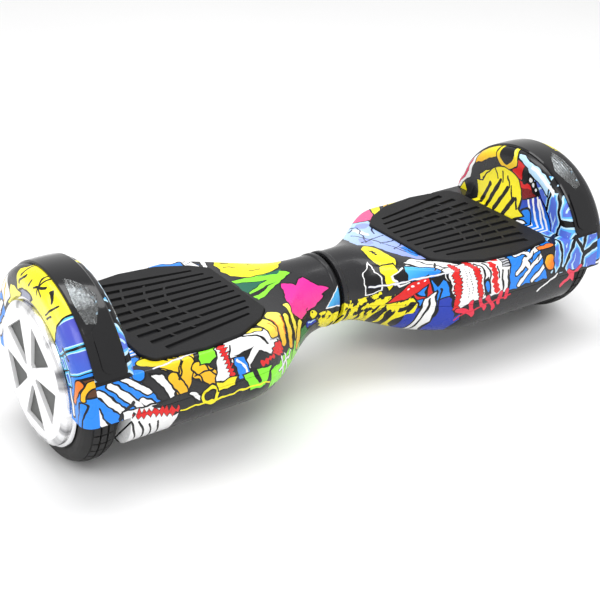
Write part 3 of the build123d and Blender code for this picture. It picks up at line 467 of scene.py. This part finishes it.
def paint_right_front(c):
    """Front wall of the +X half."""
    c.paint(c.polygon((62, -78), (98, -74), (104, -134), (58, -134)), DEEP_BLUE)
    crumbs = c.polygon((2, -60), (40, -64), (46, -84), (2, -77))
    crumbs = crumbs.min(c.polygon((42, -72), (66, -76), (68, -104), (44, -94)))
    crumbs = crumbs.min(c.ellipse(34, -76, 10, 7))
    c.paint(crumbs, YELLOW, 0)
    c.paint(c.speckle(6.5, 0.47).max(crumbs), BLACK, 0)
    c.paint(c.polygon((66, -84), (90, -74), (98, -104), (70, -100)), BLUE)
    flag = c.polygon((46, -79), (62, -71), (77, -70), (72, -84), (58, -84))
    c.paint(flag.min(c.polygon((62, -78), (78, -72), (80, -96), (68, -90))), RED)
    c.paint(c.polygon((68, -84), (76, -82), (74, -90)), BLUE)
    c.paint(c.polygon((80, -76), (90, -70), (92, -80), (84, -88)), BLACK, 0)
    for x, y, radius in ((62, -75, 1.0), (66, -74, 1.2), (71, -73, 1.0), (75, -73.5, 0.8)):
        c.paint(c.ellipse(x, y, radius, radius), WHITE, 0)
    c.paint(c.polygon((68, -118), (74, -94), (82, -92), (80, -120)), WHITE)
    c.paint(c.strokes(0.9, ((73, -116), (78, -96)), ((86, -92), (82, -118))), BLACK, 0)

    c.paint(c.polygon((90, -70), (158, -70), (158, -121), (98, -121)), WHITE)
    for x, lean in ((101, -2), (117, 5)):
        band = c.stroke((x, -68), (x + lean, -118), 1.9)
        c.paint(c.teeth(band, (0, -1), 4.2, -1.5), RED, 0.7)
    stitches = c.strokes(0.35, ((107, -76), (109, -116)), ((111, -80), (113, -112)))
    c.paint(stitches.max(c.dot((0, 1)).wave(3) - 0.5), BLACK, 0)
    c.paint(c.strokes(1.0, ((93, -78), (96, -116)), ((122, -76), (127, -92)), ((127, -92), (127, -118)),
                      ((129, -80), (134, -96)), ((134, -96), (134, -118)), ((127, -74), (138, -84)),
                      ((149, -97), (150, -118)), ((143, -90), (145, -104)), ((156, -98), (157, -118))),
            BLACK, 0)
    c.paint(c.teeth(c.stroke((137, -84), (142, -118), 2.2), (0, -1), 6.0, -1.8), RED, 0)
    c.paint(c.polygon((140, -71), (149, -71), (147, -84), (141, -80)), RED, 0)
    c.paint(c.ellipse(130.5, -110, 2.6, 7), BLUE)
    patch = c.polygon((150, -72), (158, -71), (159, -94), (151, -92))
    c.paint(patch, PALE_GREY, 1.0)
    c.paint((c.dot((0.3, 1)).wave(3.4) - 0.42).max(patch), BLACK, 0)

    c.paint(c.polygon((159, -70), (222, -70), (218, -121), (159, -121)), BLUE)
    c.paint(c.strokes(2.4, ((168, -84), (194, -74)), ((174, -80), (182, -86)), ((168, -106), (186, -88)),
                      ((186, -88), (202, -80)), ((172, -118), (190, -100)), ((190, -100), (206, -90)),
                      ((188, -119), (206, -104)), ((178, -92), (182, -102))), WHITE)
    c.paint(c.strokes(0.7, ((190, -86), (186, -96)), ((200, -88), (194, -98))), BLACK, 0)
    c.paint(c.polygon((198, -86), (222, -84), (220, -121), (208, -121), (202, -98)), CHARCOAL)
    c.paint(c.stroke((199, -84), (215, -83), 2.6), ORANGE)
    c.paint(c.ellipse(211, -104, 5.5, 9, 20), c.blend(GOLD, ORANGE, (1, -0.5), 256, 268))
    c.paint(c.stroke((214, -116), (226, -120), 1.6), PALE_BLUE)

    paint_blocks(c, c.polygon((221, -52), (290, -40), (290, -124), (216, -121)), (0.75, 0.36), 15, 3.0)

    c.paint(c.polygon((96, -121), (158, -121), (156, -126), (98, -128)), CHARCOAL, 0)
    c.paint(c.strokes(2.2, ((100, -122), (116, -134)), ((116, -134), (112, -122)),
                      ((122, -121), (128, -132)), ((132, -122), (140, -134)), ((148, -121), (146, -130)),
                      ((156, -121), (155, -127))), SCARLET, 0.6)
    c.paint(c.stroke((100, -131), (160, -126), 0.8), CARMINE, 0)
    # Painted highlight: a thin white line where the crease between body and fender catches the light.
    c.paint(c.stroke((196, -133), (222, -121), 0.8), WHITE, 0)
    c.paint(c.strokes(2.2, ((230, -134), (252, -122)), ((238, -122), (248, -133))), CORAL, 0.7)
    # Painted highlight: a thin white line with a lavender edge where the shoulder crease catches the light.
    c.paint(c.stroke((98, -78), (52, -62), 0.75).min(c.stroke((52, -62), (30, -52), 0.7)), WHITE, 0.5,
            LAVENDER)


def paint_blocks(c, region, squeeze, size, seed):
    """Purple-blue blocks with bright cyan edges and dark gaps."""
    edge_width, glow_width, gap_width = 2.7, 1.9, 1.15
    drop_width, drop_inset = 0.5, 4.4
    c.paint(region, c.blend(PURPLE, BLOCK_BLUE, (0.3, 1), -120, -40))
    gaps = c.cells(size, 0.0, seed, squeeze)
    c.paint((gaps - edge_width).max(region), BLOCK_EDGE, 0)
    c.paint((gaps - glow_width).max(region), PALE_BLUE, 0)
    c.paint((gaps - gap_width).max(region), BLACK, 0)
    drops = c.cells(size * 0.55, 0.0, seed + 40, squeeze)
    c.paint((drops - drop_width).max(-(gaps - drop_inset)).max(region), PALE_BLUE, 0)


def paint_dome(c):
    """Fender's wall that faces the deck."""
    paint_blocks(c, c.polygon((-95, 70), (-34, 70), (-30, 160), (-95, 160)), (0.85, 0.42), 18, 4.0)
    c.paint(c.ringlet(0, AXLE_Z, 83, 5.0).max(c.polygon((-50, 136), (4, 136), (4, 180), (-50, 180))),
            PALE_BLUE)
    c.paint(c.ringlet(0, AXLE_Z, 85, 1.6).max(c.polygon((-58, 120), (-24, 120), (-24, 180), (-58, 180))),
            WHITE, 0)
    scratch = c.polygon((-62, 102), (-54, 122), (-36, 143), (-20, 128), (-26, 102))
    c.paint(scratch, c.blend(BLUE, DEEP_BLUE, (0.2, 1), 98, 122))
    scratches = c.strokes(1.1, ((-26, 132), (-40, 104)), ((-31, 136), (-46, 104)), ((-36, 140), (-51, 106)),
                          ((-41, 134), (-56, 108)))
    c.paint(scratches.max(scratch), WHITE, 0)
    c.paint(c.ellipse(-30, 112, 6, 9, -16), BLUE)
    c.paint(c.ellipse(-26, 105, 6, 4), WHITE)
    c.paint(c.polygon((-38, 139), (-12, 146), (2, 140), (-8, 126), (-24, 130)), DARK_RED)
    c.paint(c.polygon((-36, 140), (-18, 146), (-2, 142), (-4, 137), (-20, 139)), RED, 0)
    c.paint(c.polygon((-19, 160), (-4, 166), (1, 152), (-4, 146), (-13, 146)), RED)
    c.paint(c.ellipse(-18, 152, 3.6, 6.5), CHARCOAL)
    c.paint(c.polygon((-24, 146), (-29, 138), (-40, 136), (-33, 152)), BLACK, 0)
    for x, y, radius in ((-25, 150, 2.6), (-29.5, 146, 2.0), (-33.5, 142.5, 1.6)):
        c.paint(c.ellipse(x, y, radius, radius), WHITE, 0.8)

    c.paint(c.polygon((24, 132), (24, 153), (62, 140), (66, 120), (50, 118)), CHARCOAL, 0)
    c.paint(c.stroke((24, 167), (58, 148), 5.4), c.blend(YELLOW, GOLD, (0, -1), -170, -148))
    c.paint(c.ellipse(11, 164, 15, 13), c.blend(YELLOW, GOLD, (0, -1), -170, -150))
    c.paint(c.ellipse(12, 166, 8.5, 9), BLACK)
    c.paint(c.stroke((4, 172), (0, 168), 1.2), PALE_YELLOW, 0)
    c.paint(c.strokes(2.2, ((34, 140), (46, 132)), ((46, 132), (42, 120)), ((34, 128), (40, 122))), YELLOW)
    dome = c.ellipse(11, 122, 30, 29).min(c.polygon((-26, 114), (-12, 104), (62, 96), (52, 124), (10, 136)))
    c.paint(dome, YELLOW)
    bars = c.strokes(2.6, ((-10, 126), (-2, 106)), ((2, 132), (11, 110)), ((15, 136), (25, 108)),
                     ((29, 128), (36, 108)))
    c.paint(bars.min(c.polygon((44, 104), (52, 126), (60, 104))), BLACK, 0)
    c.paint(c.strokes(0.9, ((-8, 126), (-2, 136)), ((0, 134), (6, 144)), ((10, 136), (15, 146)),
                      ((20, 138), (26, 146)), ((-18, 118), (-12, 128)), ((22, 106), (30, 100)),
                      ((36, 104), (40, 98)), ((2, 106), (8, 100))), BLACK, 0)
    c.paint(c.polygon((62, 94), (70, 116), (96, 100), (96, 88)), YELLOW)
    c.paint(c.polygon((56, 152), (64, 126), (78, 108), (96, 108), (96, 152)), WHITE)
    c.paint(c.strokes(1.3, ((64, 144), (72, 122)), ((72, 122), (86, 108)), ((74, 140), (80, 120))), CRIMSON,
            0.4)


def paint_lip(c):
    """Outer face of the fender, round the wheel."""
    c.paint(c.polygon((-100, 60), (-44, 60), (-44, 112), (-64, 128), (-100, 128)), BLUE)
    c.paint(c.wedge(86, 94, 159, 168), BROWN)
    c.paint(c.stroke((-80, 110), (-74, 92), 3.0, 1.6), ORANGE)
    c.paint(c.stroke((-86, 112), (-84, 98), 1.4), GOLD, 0.8)
    c.paint(c.stroke((-67, 100), (-70, 78), 1.3), WHITE)
    c.paint(c.stroke((-84, 92), (-80, 74), 2.4), BLUE)
    for inner, outer, start, end in ((65, 94, 126, 141.5), (73, 94, 143, 156), (64.5, 71.5, 143, 152),
                                     (66, 74, 153.5, 163)):
        block = c.wedge(inner, outer, start, end)
        c.paint(block, CYAN, 1.2)
        c.paint(block + 2.0, c.blend(PURPLE, BLUE, (0.5, -0.8), -150, -100), 0.9, PALE_BLUE)
    c.paint(c.stroke((-58, 132), (-68, 126), 1.2), BLACK, 0)
    c.paint(c.polygon((-43, 132), (-52, 158), (-36, 170), (6, 178), (30, 164), (26, 146), (0, 140)),
            c.blend(YELLOW, PALE_YELLOW, (0, -1), -165, -145))
    c.paint(c.strokes(0.9, ((-22, 169), (-8, 164)), ((-16, 173), (-14, 160)), ((-21, 162), (-10, 171)),
                      ((-42, 160), (-28, 148)), ((-40, 152), (-31, 146)), ((10, 168), (22, 156)),
                      ((-2, 168), (2, 162)), ((-28, 168), (-36, 162)), ((14, 172), (18, 164))), BLACK, 0)
    c.paint(c.ellipse(10, 150, 11, 4.5, -10), LAVENDER)
    c.paint(c.polygon((28, 168), (46, 156), (44, 144), (28, 150)), CHARCOAL)
    c.paint(c.polygon((20, 148), (40, 148), (54, 128), (40, 118)), PALE_YELLOW)
    c.paint(c.polygon((50, 152), (70, 134), (66, 112), (46, 134)), WHITE)
    c.paint(c.strokes(1.0, ((52, 144), (62, 124)), ((58, 146), (68, 128))), GOLD, 0)
    c.paint(c.polygon((66, 130), (80, 118), (94, 90), (94, 70), (60, 70), (60, 108)), BLUE)
    c.paint(c.strokes(2.0, ((66, 120), (80, 100)), ((66, 104), (78, 84)), ((74, 92), (88, 76))), WHITE)


def object_place(tree):
    """Point on the surface, in metres."""
    return tree.nodes.new("ShaderNodeTexCoord").outputs["Object"]


def object_axes(tree):
    """The point's x, y and z in millimetres."""
    split = tree.nodes.new("ShaderNodeSeparateXYZ")
    tree.links.new(object_place(tree), split.inputs[0])
    return [Field(tree, split.outputs[index]) * 1000.0 for index in range(3)]


def pair(tree, x, y):
    node = tree.nodes.new("ShaderNodeCombineXYZ")
    tree.links.new(x.socket, node.inputs[0])
    tree.links.new(y.socket, node.inputs[1])
    return node.outputs[0]


def choose(tree, mask, off, on):
    """One colour where the mask is 0 and another where it is 1."""
    node = tree.nodes.new("ShaderNodeMix")
    node.data_type = "RGBA"
    tree.links.new(mask.socket, node.inputs["Factor"])
    feed_color(tree, off, node.inputs["A"])
    feed_color(tree, on, node.inputs["B"])
    return node.outputs["Result"]


def print_color(tree):
    """Colour of the all-over print: unrolled over the body, flat on the fender's two sides."""
    x, y, z = object_axes(tree)
    girth = y.abs() + (-(z - DECK_EDGE_Z)).max(0.0)
    turned = y.above(0.0) * girth.above(BACK_TURN_GIRTH) * -2.0 + 1.0
    unrolled = pair(tree, x * turned, y.math("SIGN") * girth * turned)
    color = CHARCOAL
    for name, paint in (("left_deck", paint_left_deck), ("left_front", paint_left_front),
                        ("right_deck", paint_right_deck), ("right_front", paint_right_front)):
        canvas = Canvas(name)
        paint(canvas)
        color = canvas.laid_on(tree, unrolled, color)

    half = x.math("SIGN")
    dome = Canvas("dome", 0.9)
    paint_dome(dome)
    lip = Canvas("lip", 0.9)
    paint_lip(lip)
    on_dome = z.above(DOME_START_Z) * x.abs().above(DOME_START_X)
    color = choose(tree, on_dome, color, dome.laid_on(tree, pair(tree, y, z), CHARCOAL))
    on_lip = x.abs().above(LIP_START_X)
    color = choose(tree, on_lip, color, lip.laid_on(tree, pair(tree, -(y * half), z), CHARCOAL))
    return choose(tree, z.below(BASE_TOP_Z), color, CHARCOAL)


# ------------------------------------------------------------------ materials

def material(name):
    made = bpy.data.materials.new(name)
    made.use_nodes = True
    tree = made.node_tree
    return made, tree, tree.nodes["Principled BSDF"]


def noise_on(tree, scale, detail=3.0, stretch=(1, 1, 1)):
    """Noise in the row frame, in features per metre."""
    mapping = tree.nodes.new("ShaderNodeMapping")
    mapping.inputs["Scale"].default_value = stretch
    tree.links.new(object_place(tree), mapping.inputs["Vector"])
    noise = tree.nodes.new("ShaderNodeTexNoise")
    noise.inputs["Scale"].default_value = scale
    noise.inputs["Detail"].default_value = detail
    tree.links.new(mapping.outputs["Vector"], noise.inputs["Vector"])
    return noise.outputs["Fac"]


def spread(tree, source, low, high):
    """Maps a 0 to 1 value to a range."""
    node = tree.nodes.new("ShaderNodeMapRange")
    node.inputs["From Min"].default_value = 0.3
    node.inputs["From Max"].default_value = 0.7
    node.inputs["To Min"].default_value = low
    node.inputs["To Max"].default_value = high
    tree.links.new(source, node.inputs["Value"])
    return node.outputs["Result"]


def tint(tree, source, low, high):
    """Colour that varies between two tones."""
    node = tree.nodes.new("ShaderNodeMix")
    node.data_type = "RGBA"
    tree.links.new(source, node.inputs["Factor"])
    node.inputs["A"].default_value = (*low, 1)
    node.inputs["B"].default_value = (*high, 1)
    return node.outputs["Result"]


def bump(tree, shader, height, distance, strength=0.4):
    node = tree.nodes.new("ShaderNodeBump")
    node.inputs["Strength"].default_value = strength
    node.inputs["Distance"].default_value = distance
    tree.links.new(height, node.inputs["Height"])
    tree.links.new(node.outputs["Normal"], shader.inputs["Normal"])


def moulded(name, low, high, rough_low, rough_high, grain=900, depth=0.00004, metallic=0.0, coat=0.0,
            stretch=(1, 1, 1), specular=0.5):
    """General surface: two close tones, uneven roughness and a fine grain."""
    made, tree, shader = material(name)
    broad = noise_on(tree, 35, 4.0)
    tree.links.new(tint(tree, broad, low, high), shader.inputs["Base Color"])
    fine = noise_on(tree, grain, 2.0, stretch)
    tree.links.new(spread(tree, fine, rough_low, rough_high), shader.inputs["Roughness"])
    bump(tree, shader, fine, depth)
    shader.inputs["Metallic"].default_value = metallic
    shader.inputs["Specular IOR Level"].default_value = specular
    shader.inputs["Coat Weight"].default_value = coat
    shader.inputs["Coat Roughness"].default_value = 0.04
    return made


def printed_shell():
    made, tree, shader = material("printed_shell")
    tree.links.new(print_color(tree), shader.inputs["Base Color"])
    ripple = noise_on(tree, 60, 2.0)
    tree.links.new(spread(tree, ripple, 0.22, 0.30), shader.inputs["Roughness"])
    bump(tree, shader, ripple, 0.0003, 0.12)
    shader.inputs["Specular IOR Level"].default_value = 0.28
    shader.inputs["Coat Weight"].default_value = 0.14
    shader.inputs["Coat Roughness"].default_value = 0.05
    return made


def clear_lens():
    """Clear moulded lens with fine upright flutes."""
    made, tree, shader = material("clear_lens")
    flutes = tree.nodes.new("ShaderNodeTexWave")
    flutes.bands_direction = "X"
    flutes.inputs["Scale"].default_value = 110
    flutes.inputs["Distortion"].default_value = 0.6
    tree.links.new(object_place(tree), flutes.inputs["Vector"])
    bump(tree, shader, flutes.outputs["Fac"], 0.0006, 0.35)
    haze = noise_on(tree, 90, 3.0)
    tree.links.new(tint(tree, haze, (0.80, 0.83, 0.84), (0.95, 0.97, 0.97)), shader.inputs["Base Color"])
    tree.links.new(spread(tree, haze, 0.04, 0.10), shader.inputs["Roughness"])
    shader.inputs["Transmission Weight"].default_value = 0.95
    shader.inputs["IOR"].default_value = 1.35
    return made


def lamp_board():
    """Reflector board behind the lens: dark at its lower end where the lamps sit; its upper part is a
    painted reflection in pale grey.
    """
    made, tree, shader = material("lamp_board")
    height = (object_axes(tree)[2] - LAMP_TOP_Z) * 0.16
    height = height.max(0.0).min(1.0)
    # Painted reflection: pale grey above the lamps, near black below.
    tree.links.new(tint(tree, height.socket, (0.012, 0.012, 0.013), (0.62, 0.64, 0.66)),
                   shader.inputs["Base Color"])
    facet = tree.nodes.new("ShaderNodeTexVoronoi")
    facet.inputs["Scale"].default_value = 320
    tree.links.new(object_place(tree), facet.inputs["Vector"])
    bump(tree, shader, facet.outputs["Distance"], 0.002, 0.6)
    shader.inputs["Metallic"].default_value = 0.5
    tree.links.new(spread(tree, facet.outputs["Distance"], 0.22, 0.4), shader.inputs["Roughness"])
    return made


def tyre_rubber():
    """Rubber with mould rings on the sidewall and a dusty, slightly worn tread."""
    made, tree, shader = material("tyre_rubber")
    _, y, z = object_axes(tree)
    radius = y.hypot(z - AXLE_Z)
    rings = radius.wave(3.0) * 0.5
    wall = radius.below(TREAD_START_RADIUS)
    fine = noise_on(tree, 1400, 3.0)
    relief = rings * wall + Field(tree, fine) * 0.35
    bump(tree, shader, relief.socket, 0.0005, 0.5)
    dust = noise_on(tree, 70, 5.0)
    tree.links.new(tint(tree, dust, (0.013, 0.013, 0.014), (0.036, 0.035, 0.034)),
                   shader.inputs["Base Color"])
    tree.links.new(spread(tree, dust, 0.55, 0.78), shader.inputs["Roughness"])
    shader.inputs["Specular IOR Level"].default_value = 0.25
    return made


def hub_white():
    """Cover with a white face and a polished side wall whose colour has grey streaks painted in as painted
    reflections.
    """
    made, tree, shader = material("hub_white")
    _, y, z = object_axes(tree)
    z = z - AXLE_Z
    radius = y.hypot(z)
    turned = radius.wave(0.9) * 0.4 + Field(tree, noise_on(tree, 500, 2.0)) * 0.6
    bump(tree, shader, turned.socket, 0.00006, 0.25)
    round_wall = pair(tree, y.math("DIVIDE", radius), z.math("DIVIDE", radius))
    reflection_streaks = tree.nodes.new("ShaderNodeTexNoise")
    reflection_streaks.inputs["Scale"].default_value = 2.6
    reflection_streaks.inputs["Detail"].default_value = 3.0
    tree.links.new(round_wall, reflection_streaks.inputs["Vector"])
    shade = tree.nodes.new("ShaderNodeMapRange")
    shade.inputs["From Min"].default_value = 0.36
    shade.inputs["From Max"].default_value = 0.52
    tree.links.new(reflection_streaks.outputs["Fac"], shade.inputs["Value"])
    # Painted reflection: the polished wall's colour swings between dark grey and white along the streaks.
    wall = tint(tree, shade.outputs["Result"], (0.17, 0.17, 0.18), (0.88, 0.88, 0.89))
    cloud = noise_on(tree, 24, 3.0)
    face = tint(tree, cloud, (0.88, 0.88, 0.89), (0.95, 0.95, 0.95))
    on_wall = radius.above(COVER_FACE_RADIUS)
    tree.links.new(choose(tree, on_wall, face, wall), shader.inputs["Base Color"])
    tree.links.new(spread(tree, turned.socket, 0.16, 0.26), shader.inputs["Roughness"])
    tree.links.new((on_wall * 0.75 + 0.15).socket, shader.inputs["Metallic"])
    shader.inputs["Coat Weight"].default_value = 0.4
    return made


MATERIALS = {
    "printed_shell": printed_shell(),
    "gloss_black": moulded("gloss_black", (0.004, 0.004, 0.005), (0.008, 0.008, 0.009), 0.08, 0.14, 300,
                           0.00002, coat=0.25, specular=0.3),
    "clear_lens": clear_lens(),
    "lamp_board": lamp_board(),
    "pad_rubber": moulded("pad_rubber", (0.011, 0.011, 0.012), (0.018, 0.018, 0.019), 0.50, 0.68, 2200,
                          0.00012, specular=0.2),
    "black_plastic": moulded("black_plastic", (0.008, 0.008, 0.009), (0.016, 0.016, 0.017), 0.4, 0.6,
                             specular=0.3),
    "circuit_board": moulded("circuit_board", (0.010, 0.10, 0.04), (0.016, 0.17, 0.07), 0.3, 0.5),
    "cast_aluminium": moulded("cast_aluminium", (0.50, 0.51, 0.52), (0.62, 0.63, 0.64), 0.4, 0.6, 1200,
                              0.0001, metallic=1.0),
    "steel": moulded("steel", (0.42, 0.42, 0.43), (0.56, 0.56, 0.57), 0.22, 0.38, 800, 0.00004,
                     metallic=1.0, stretch=(1, 8, 8)),
    "copper": moulded("copper", (0.62, 0.24, 0.10), (0.78, 0.36, 0.16), 0.3, 0.45, 1500, 0.0001,
                      metallic=1.0),
    "tyre_rubber": tyre_rubber(),
    "motor_grey": moulded("motor_grey", (0.082, 0.085, 0.082), (0.112, 0.115, 0.112), 0.46, 0.62, 1500,
                          0.00008, metallic=0.25),
    "bright_rim": moulded("bright_rim", (0.80, 0.80, 0.81), (0.90, 0.90, 0.91), 0.10, 0.20, 500, 0.00003,
                          metallic=1.0),
    "hub_white": hub_white(),
    "bronze": moulded("bronze", (0.48, 0.30, 0.12), (0.60, 0.40, 0.18), 0.3, 0.45, 900, 0.00005,
                      metallic=1.0),
    "battery_wrap": moulded("battery_wrap", (0.02, 0.09, 0.38), (0.03, 0.13, 0.48), 0.25, 0.4, 200, 0.0004),
    "red_button": moulded("red_button", (0.50, 0.015, 0.012), (0.62, 0.025, 0.018), 0.2, 0.32),
}
MATERIALS["lower_print"] = MATERIALS["printed_shell"]

for row in frame["record"]["subparts"]:
    target = nodes[row["node"]]
    for slot in target.material_slots:
        slot.material = MATERIALS[row["material_slot"]]


# ------------------------------------------------------------------ small pieces

def socket_pins():
    """Three gold contacts on the floor of the charge socket."""
    low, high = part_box("charge_port")
    centre = (low + high) / 2
    tilt = math.radians(SOCKET_TILT)
    out = Vector((0, math.cos(tilt), -math.sin(tilt)))
    mesh = bmesh.new()
    for index in range(PIN_COUNT):
        turn = math.radians(360 / PIN_COUNT * index + 90)
        side = Vector((1, 0, 0)) * math.cos(turn) + out.cross(Vector((1, 0, 0))) * math.sin(turn)
        place = Matrix.Translation(centre - out * PIN_SINK + side * PIN_CIRCLE_RADIUS)
        place = place @ out.to_track_quat("Z", "Y").to_matrix().to_4x4()
        bmesh.ops.create_cone(mesh, cap_ends=True, segments=20, radius1=PIN_RADIUS, radius2=PIN_TIP_RADIUS,
                              depth=PIN_LENGTH, matrix=place)
    data = bpy.data.meshes.new("socket_pins")
    mesh.to_mesh(data)
    mesh.free()
    piece = bpy.data.objects.new("socket_pins", data)
    bpy.context.collection.objects.link(piece)
    data.materials.append(MATERIALS["bronze"])
    bevel = piece.modifiers.new("round", "BEVEL")
    bevel.width = PIN_BEVEL
    bevel.segments = 2
    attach(piece, "right_half")


socket_pins()


# ------------------------------------------------------------------ floor, light, camera

def show():
    """Plain colour handling, so that the print stays as bright as it is."""
    bpy.context.scene.view_settings.view_transform = "Standard"


def floor():
    bpy.ops.mesh.primitive_plane_add(size=12, location=(0, 0, -0.0005))
    plane = bpy.context.object
    plane.name = "floor"
    made, tree, shader = material("floor")
    cloud = noise_on(tree, 3, 2.0)
    tree.links.new(tint(tree, cloud, (0.86, 0.86, 0.86), (0.88, 0.88, 0.88)), shader.inputs["Base Color"])
    tree.links.new(spread(tree, cloud, 0.55, 0.65), shader.inputs["Roughness"])
    plane.data.materials.append(made)


def area(name, location, target, size, power):
    data = bpy.data.lights.new(name, "AREA")
    data.shape = "RECTANGLE"
    data.size, data.size_y = size
    data.energy = power
    light = bpy.data.objects.new(name, data)
    bpy.context.collection.objects.link(light)
    light.location = location
    light.rotation_euler = (Vector(target) - Vector(location)).to_track_quat("-Z", "Y").to_euler()


def camera():
    """The product view: from the front left, a little above."""
    data = bpy.data.cameras.new("camera")
    data.lens = 76.29
    data.sensor_width = 36
    data.clip_start = 0.01
    view = bpy.data.objects.new("camera", data)
    bpy.context.collection.objects.link(view)
    right = Vector((0.82772, -0.56102, 0.01199)).normalized()
    up = Vector((0.24694, 0.38336, 0.88998)).normalized()
    back = right.cross(up).normalized()
    up = back.cross(right)
    turn = Matrix((right, up, back)).transposed().to_4x4()
    view.matrix_world = Matrix.Translation((-0.62204, -0.87223, 0.61884)) @ turn
    bpy.context.scene.camera = view


def world():
    made = bpy.data.worlds.new("studio")
    made.use_nodes = True
    made.node_tree.nodes["Background"].inputs["Color"].default_value = (1, 1, 1, 1)
    made.node_tree.nodes["Background"].inputs["Strength"].default_value = 0.84
    bpy.context.scene.world = made


show()
floor()
world()
area("key", (-0.5, -1.2, 1.7), (0, 0, 0.08), (1.2, 0.8), 14)
area("top", (0.2, 0.3, 1.8), (0, 0, 0.08), (1.6, 0.7), 14)
area("rim", (-1.6, 0.5, 0.9), (-0.2, 0, 0.1), (0.7, 1.0), 6)
camera()
